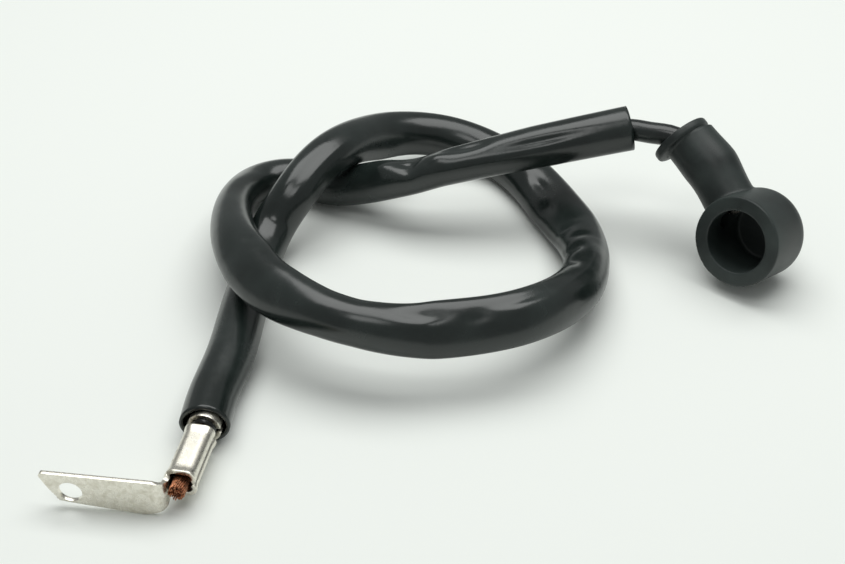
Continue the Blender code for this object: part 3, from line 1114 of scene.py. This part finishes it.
    def build(self, tin: Material) -> None:
        """Builds the lug from a flat blank.

        Args:
            tin: Its plated copper.
        """
        line, _ = self.line()
        bpy.ops.object.select_all(action="DESELECT")
        bpy.ops.mesh.primitive_grid_add(
            x_subdivisions=len(line) - 1, y_subdivisions=2 * self.columns, size=2,
            location=(0, 0, 0),
        )
        lug = bpy.context.object
        lug.name = "bolt_lug"
        for point in lug.data.vertices:
            point.co.x = (point.co.x + 1) / 2
        self.fold(lug)
        select_only(lug)
        bpy.ops.object.mode_set(mode="EDIT")
        bpy.ops.mesh.select_all(action="SELECT")
        bpy.ops.mesh.normals_make_consistent(inside=False)
        bpy.ops.object.mode_set(mode="OBJECT")
        apply_modifier(
            lug, "SOLIDIFY", thickness=self.sheet, offset=0.0, use_quality_normals=True
        )
        hole = Vector(self.corner + self.tongue_way * (self.tongue_length - self.hole_to_tip))
        hole.z = self.width / 2
        through = Vector((-self.tongue_way[1], self.tongue_way[0], 0.0)) * self.width
        cutter = round_bar("bolt_hole", self.bolt_hole / 2, hole - through, hole + through)
        join_or_cut(lug, "DIFFERENCE", cutter)
        apply_modifier(
            lug, "BEVEL", width=self.edge, segments=2, limit_method="ANGLE",
            angle_limit=self.sharp_angle,
        )
        select_only(lug)
        bpy.ops.object.shade_smooth_by_angle(angle=self.sharp_angle)
        finish_piece(lug, tin, Body.LEAD)
        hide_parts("lug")


# ---------------- boot


@dataclass
class Boot:
    """Moulded rubber elbow boot: a deep round cup, and a neck with a rolled collar."""

    cup_radius: float = 13.75 * MM
    cup_bore: float = 9.5 * MM
    cup_mouth: float = 12.5 * MM
    cup_back: float = 9.0 * MM
    cup_rounding: float = 6.0 * MM
    back_wall: float = 2.5 * MM
    neck_radius: float = 8.1 * MM
    neck_bore: float = 6.6 * MM
    neck_length: float = 38.6 * MM
    collar_radius: float = 9.4 * MM
    collar_length: float = 2.8 * MM
    rounded_back_ends: float = 2.4 * MM
    front_starts: float = 1.0 * MM
    neck_under_collar: float = 1.0 * MM
    mouth_edge: float = 0.35 * MM
    bore_edge: float = 0.8 * MM
    collar_edge: float = 0.7 * MM
    spare_cut: float = 5 * MM
    disc_sides: int = 96
    edge_steps: int = 8
    bow: float = 2.1 * MM
    bow_start: float = 10 * MM
    bow_full: float = 25 * MM
    bow_back_from: float = 0.62
    bow_back_rate: float = 0.5
    collar_fade: tuple[float, float] = (0.8 * MM, 0.2 * MM)
    swell: float = 0.05
    swell_middle: float = 0.66
    swell_spread: float = 0.14
    swell_from: float = 0.35
    bow_way: tuple[float, float] = (-0.477, 0.866)
    voxel: float = 0.4 * MM

    def disc(
        self, name: str, radius: float, low: float, high: float, along_x: bool, edge: float
    ) -> Piece:
        """A round bar with rounded edges, in the boot's own frame.

        Args:
            name: The object's name.
            radius: Its radius.
            low: Where it starts on its axis.
            high: Where it ends.
            along_x: Whether its axis runs out of the mouth; otherwise it runs up the neck.
            edge: The radius of its edges, or 0.

        Returns:
            The new object.
        """
        way = Vector((1, 0, 0)) if along_x else Vector((0, 0, 1))
        made = round_bar(name, radius, way * low, way * high, self.disc_sides)
        if edge:
            steps = self.edge_steps
            apply_modifier(made, "BEVEL", width=edge, segments=steps, limit_method="ANGLE")
        return made

    def shape(self) -> Piece:
        """The boot in its own frame, with +Z up the neck and +X out of the mouth."""
        deep = self.back_wall - self.cup_back
        back_ends = self.cup_mouth - self.rounded_back_ends
        neck_top = self.neck_length - self.neck_under_collar
        collar_low = self.neck_length - self.collar_length
        mouth, collar_top, collar_edge = self.cup_mouth, self.neck_length, self.collar_edge
        past_mouth, past_collar = mouth + self.spare_cut, collar_top + self.spare_cut
        parts = (
            ("UNION", "front", self.cup_radius, -self.front_starts, mouth, True, self.mouth_edge),
            ("UNION", "neck", self.neck_radius, 0.0, neck_top, False, 0.0),
            ("UNION", "collar", self.collar_radius, collar_low, collar_top, False, collar_edge),
            ("DIFFERENCE", "cup_bore", self.cup_bore, deep, past_mouth, True, self.bore_edge),
            ("DIFFERENCE", "neck_bore", self.neck_bore, 0.0, past_collar, False, 0.0),
        )
        boot = self.disc(
            "elbow_boot", self.cup_radius, -self.cup_back, back_ends, True, self.cup_rounding
        )
        for operation, name, radius, low, high, along_x, edge in parts:
            join_or_cut(boot, operation, self.disc(name, radius, low, high, along_x, edge))
        return boot

    def build(self, rubber: Material) -> None:
        """Builds the boot.

        Args:
            rubber: Its moulded rubber.
        """
        boot = self.shape()
        apply_modifier(boot, "REMESH", mode="VOXEL", voxel_size=self.voxel, adaptivity=0.0)
        apply_modifier(boot, "SMOOTH", factor=0.5, iterations=3)
        side = np.cross(NECK_AXIS, MOUTH_AXIS)
        collar_low = self.neck_length - self.collar_length
        fade_start, fade_end = collar_low - self.collar_fade[0], collar_low + self.collar_fade[1]
        turn = Matrix((Vector(MOUTH_AXIS), Vector(side), Vector(NECK_AXIS))).transposed().to_4x4()
        for point in boot.data.vertices:
            part = min(max(point.co.z / self.neck_length, 0.0), 1.0)
            lean = smooth_part(point.co.z, self.bow_start, self.bow_full)
            lean = self.bow * (lean - self.bow_back_rate * max(part - self.bow_back_from, 0.0))
            lean *= 1 - smooth_part(point.co.z, fade_start, fade_end)
            off = (part - self.swell_middle) / self.swell_spread
            wider = 1 + self.swell * math.exp(-(off**2))
            if part > self.swell_from:
                point.co.x *= wider
                point.co.y *= wider
            point.co += Vector((self.bow_way[0] * lean, self.bow_way[1] * lean, 0.0))
        boot.data.transform(Matrix.Translation(Vector(BOOT_PLACE)) @ turn)
        boot.data.shade_smooth()
        finish_piece(boot, rubber, Body.BOOT)
        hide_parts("boot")


def dress_ring_terminal(tin: Material) -> None:
    """Gives the ring terminal in the boot its plated copper.

    Args:
        tin: Its plated copper.
    """
    terminal = bpy.data.objects["ring_terminal"]
    terminal.data.materials.clear()
    terminal.data.materials.append(tin)


def main() -> None:
    """Builds the lead and its studio."""
    logging.basicConfig(level=logging.INFO, format="%(name)s: %(message)s")
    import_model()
    studio = Studio()
    studio.place_camera()
    sleeve_pvc = SoftVinyl().build()
    Sleeve().build(sleeve_pvc)
    LOG.info("sleeve built")
    wire_pvc = SoftVinyl(
        name="wire_pvc_black", colour="080a0a", ripple_height=0.03 * MM, grain_height=0.002 * MM
    ).build()
    Wire().build(wire_pvc, DrawnCopper().build())
    LOG.info("wire built")
    tin = TinnedCopper().build()
    Lug().build(tin)
    LOG.info("lug built")
    dress_ring_terminal(tin)
    Boot().build(MouldedRubber().build())
    LOG.info("boot built")
    studio.lay_ground()
    studio.light()


if __name__ == "__main__":
    main()
